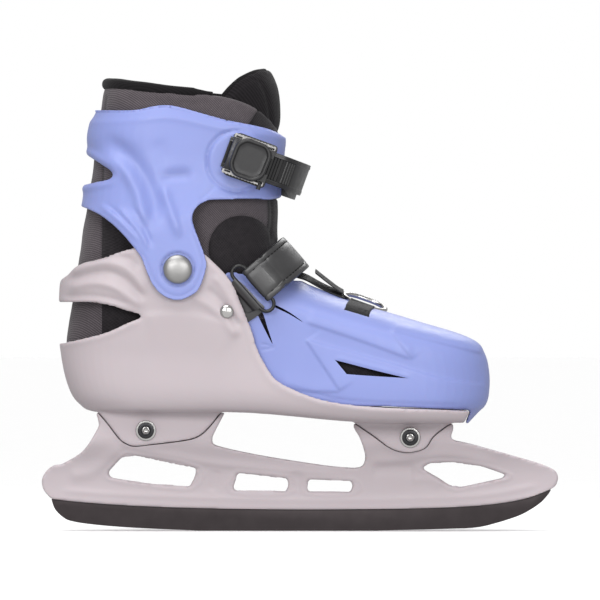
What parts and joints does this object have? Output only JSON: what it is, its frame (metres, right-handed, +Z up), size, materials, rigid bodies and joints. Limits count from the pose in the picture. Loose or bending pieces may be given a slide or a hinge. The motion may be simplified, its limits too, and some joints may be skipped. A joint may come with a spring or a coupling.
{
  "type": "ice skate",
  "caption": "Right ice skate for growing feet: hinged blue cuff, sliding toe shell, pale base shell, open blade holder and dark steel blade.",
  "frame": {"origin": "on the blade's running edge, half way between the holder's nose and tail, in the middle of the blade's thickness", "axes": "+X to the toe, +Z up the leg, -Y to the outer side of the foot"},
  "size_m": [0.3096, 0.1163, 0.2774],
  "materials": {
    "shell_grey": "pale pinkish grey moulded nylon, satin",
    "shell_blue": "periwinkle blue moulded plastic, satin",
    "blade_steel": "dark heat-treated runner steel, ground faces",
    "bright_steel": "plated steel",
    "dark_steel": "blackened steel",
    "buckle_black": "satin black glass-filled nylon",
    "strap_black": "black coated strap",
    "liner_dark": "charcoal twill and mesh over foam",
    "padding": "foam with a knitted face",
    "nylon": "natural nylon"
  },
  "bodies": {
    "base": {"anchor_strap_inner": "strap_black", "anchor_strap_outer": "strap_black", "ankle_bush_inner": "nylon", "ankle_bush_outer": "nylon", "ankle_rivet_inner": "bright_steel", "ankle_rivet_outer": "bright_steel", "ankle_washer_inner": "bright_steel", "ankle_washer_outer": "bright_steel", "base_shell": "shell_grey", "blade": "blade_steel", "blade_holder": "shell_grey", "bolt_front": "dark_steel", "bolt_rear": "dark_steel", "button_spring": "bright_steel", "heel_pad": "padding", "insole": "padding", "instep_ring": "strap_black", "instep_strap": "strap_black", "liner_foot": "liner_dark", "nut_front": "bright_steel", "nut_rear": "bright_steel", "strap_rivet_inner": "bright_steel", "strap_rivet_outer": "bright_steel", "washer_front": "bright_steel", "washer_rear": "bright_steel"},
    "toe": {"toe_shell": "shell_blue", "toe_tab": "strap_black", "toe_webbing": "strap_black", "toe_ring": "bright_steel"},
    "cuff": {"cuff": "shell_blue", "liner_leg": "liner_dark", "tongue": "padding", "buckle_base": "buckle_black", "lever_pin": "bright_steel", "latch_pin": "bright_steel", "strap_bracket": "dark_steel", "strap_hinge_pin": "dark_steel"},
    "lever": {"buckle_lever": "buckle_black"},
    "latch": {"buckle_latch": "dark_steel"},
    "ratchet": {"ratchet_strap": "strap_black"},
    "flap": {"instep_flap": "strap_black"},
    "button": {"size_button": "shell_blue"}
  },
  "joints": [
    {"name": "cuff_flex", "type": "hinge", "parent": "base", "child": "cuff", "pos_m": [-0.073, 0, 0.1568], "axis": [0, 1, 0], "range_deg": [-6, 10]},
    {"name": "toe_size", "type": "slide", "parent": "base", "child": "toe", "axis": [1, 0, 0], "range_m": [0, 0.02]},
    {"name": "size_button_press", "type": "slide", "parent": "base", "child": "button", "axis": [0, -1, 0], "range_m": [0, 0.0018], "stiffness_N_per_m": 800, "springref_m": -0.001, "deforming": ["button_spring"]},
    {"name": "lever_lift", "type": "hinge", "parent": "cuff", "child": "lever", "pos_m": [-0.02013, -0.0542, 0.21841], "axis": [0.342, 0, 0.9397], "range_deg": [0, 85]},
    {"name": "latch_release", "type": "hinge", "parent": "cuff", "child": "latch", "pos_m": [-0.03893, -0.0532, 0.22525], "axis": [-0.342, 0, -0.9397], "range_deg": [0, 12], "stiffness_Nm_per_rad": 0.01, "springref_deg": -11.46},
    {"name": "ratchet_open", "type": "hinge", "parent": "cuff", "child": "ratchet", "pos_m": [-0.03, 0.0499, 0.222], "axis": [0.342, 0, 0.9397], "range_deg": [0, 70]},
    {"name": "flap_peel", "type": "hinge", "parent": "base", "child": "flap", "pos_m": [-0.0172, -0.0482, 0.1546], "axis": [0.6601, 0, -0.7511], "range_deg": [0, 110]}
  ]
}
